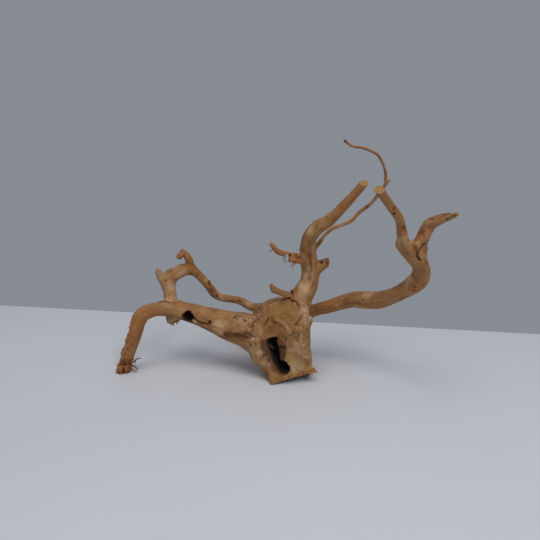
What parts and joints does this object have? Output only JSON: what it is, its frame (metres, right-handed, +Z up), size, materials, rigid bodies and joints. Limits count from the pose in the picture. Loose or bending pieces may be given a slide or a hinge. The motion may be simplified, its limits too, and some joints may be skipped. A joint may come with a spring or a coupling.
{
  "type": "spiderwood root",
  "caption": "Branching root of pale brown spiderwood with a burl, a sawn base, a raised foot and sawn limb ends, for an aquarium or terrarium.",
  "frame": {"origin": "middle of the root's outline seen from above, at the surface that it stands on", "axes": "+X to the right along the root's longest extent, +Y away from the burl's hollow front, +Z up"},
  "size_m": [0.3256, 0.141, 0.2356],
  "materials": {
    "root_wood": "dry, matt, peeled root wood with fine grain, reddish bruises, dark rotten holes and pale sawn ends"
  },
  "bodies": {
    "root": {"spiderwood_root": "root_wood"}
  },
  "joints": []
}
